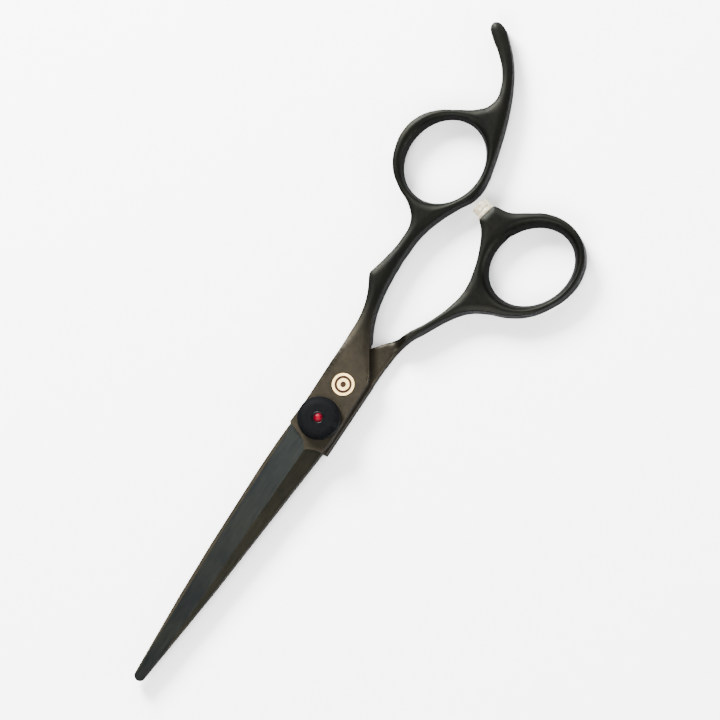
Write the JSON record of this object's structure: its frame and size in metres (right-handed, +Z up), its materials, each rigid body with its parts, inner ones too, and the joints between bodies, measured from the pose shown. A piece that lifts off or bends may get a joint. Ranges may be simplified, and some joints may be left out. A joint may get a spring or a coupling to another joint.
{
  "type": "hair cutting shears",
  "caption": "Hair cutting shears with offset oval handles, a fixed finger rest, faceted blades, a knurled tension dial with a red jewel and a thumb-ring bumper.",
  "frame": {"origin": "pivot axis where it meets the table, under the bolt head", "axes": "+Y along the shears towards the finger rings (blade tips at -Y), +X towards the thumb ring, +Z up through the tension dial"},
  "size_m": [0.0544, 0.174, 0.0092],
  "materials": {
    "black_blade": "satin black coated steel, ground",
    "black_handle": "satin black coated steel, polished then coated",
    "black_fitting": "satin black coated",
    "steel": "bright stamped steel",
    "bronze": "machined bronze",
    "ptfe": "white, waxy",
    "red_stone": "polished red cabochon",
    "gold_inlay": "satin pale gold",
    "clear_bumper": "translucent moulded plastic"
  },
  "bodies": {
    "finger_half": {"finger_blade": "black_blade", "finger_handle": "black_handle", "pivot_bolt": "black_fitting", "thrust_washer": "steel", "click_plate": "steel", "badge": "gold_inlay"},
    "thumb_half": {"thumb_blade": "black_blade", "thumb_handle": "black_handle", "pivot_bush": "bronze", "bearing_washer": "ptfe", "bumper": "clear_bumper", "bumper_stud": "steel"},
    "spring_seat": {"spring_washer": "steel"},
    "tension_dial": {"dial": "black_fitting", "tension_nut": "steel", "click_spring": "steel", "jewel_bezel": "black_fitting", "jewel": "red_stone"}
  },
  "joints": [
    {"name": "blade_pivot", "type": "hinge", "parent": "finger_half", "child": "thumb_half", "pos_m": [0, 0, 0], "axis": [0, 0, -1], "range_deg": [-1.6, 90]},
    {"name": "dial_travel", "type": "slide", "parent": "finger_half", "child": "spring_seat", "axis": [0, 0, 1], "range_m": [-0.000249, 0.000249]},
    {"name": "dial_turn", "type": "hinge", "parent": "spring_seat", "child": "tension_dial", "pos_m": [0, 0, 0], "axis": [0, 0, 1], "range_deg": [-180, 180]}
  ],
  "couplings": [
    {"joint": "dial_turn", "follows": "dial_travel", "rad_per_m": 12566}
  ]
}
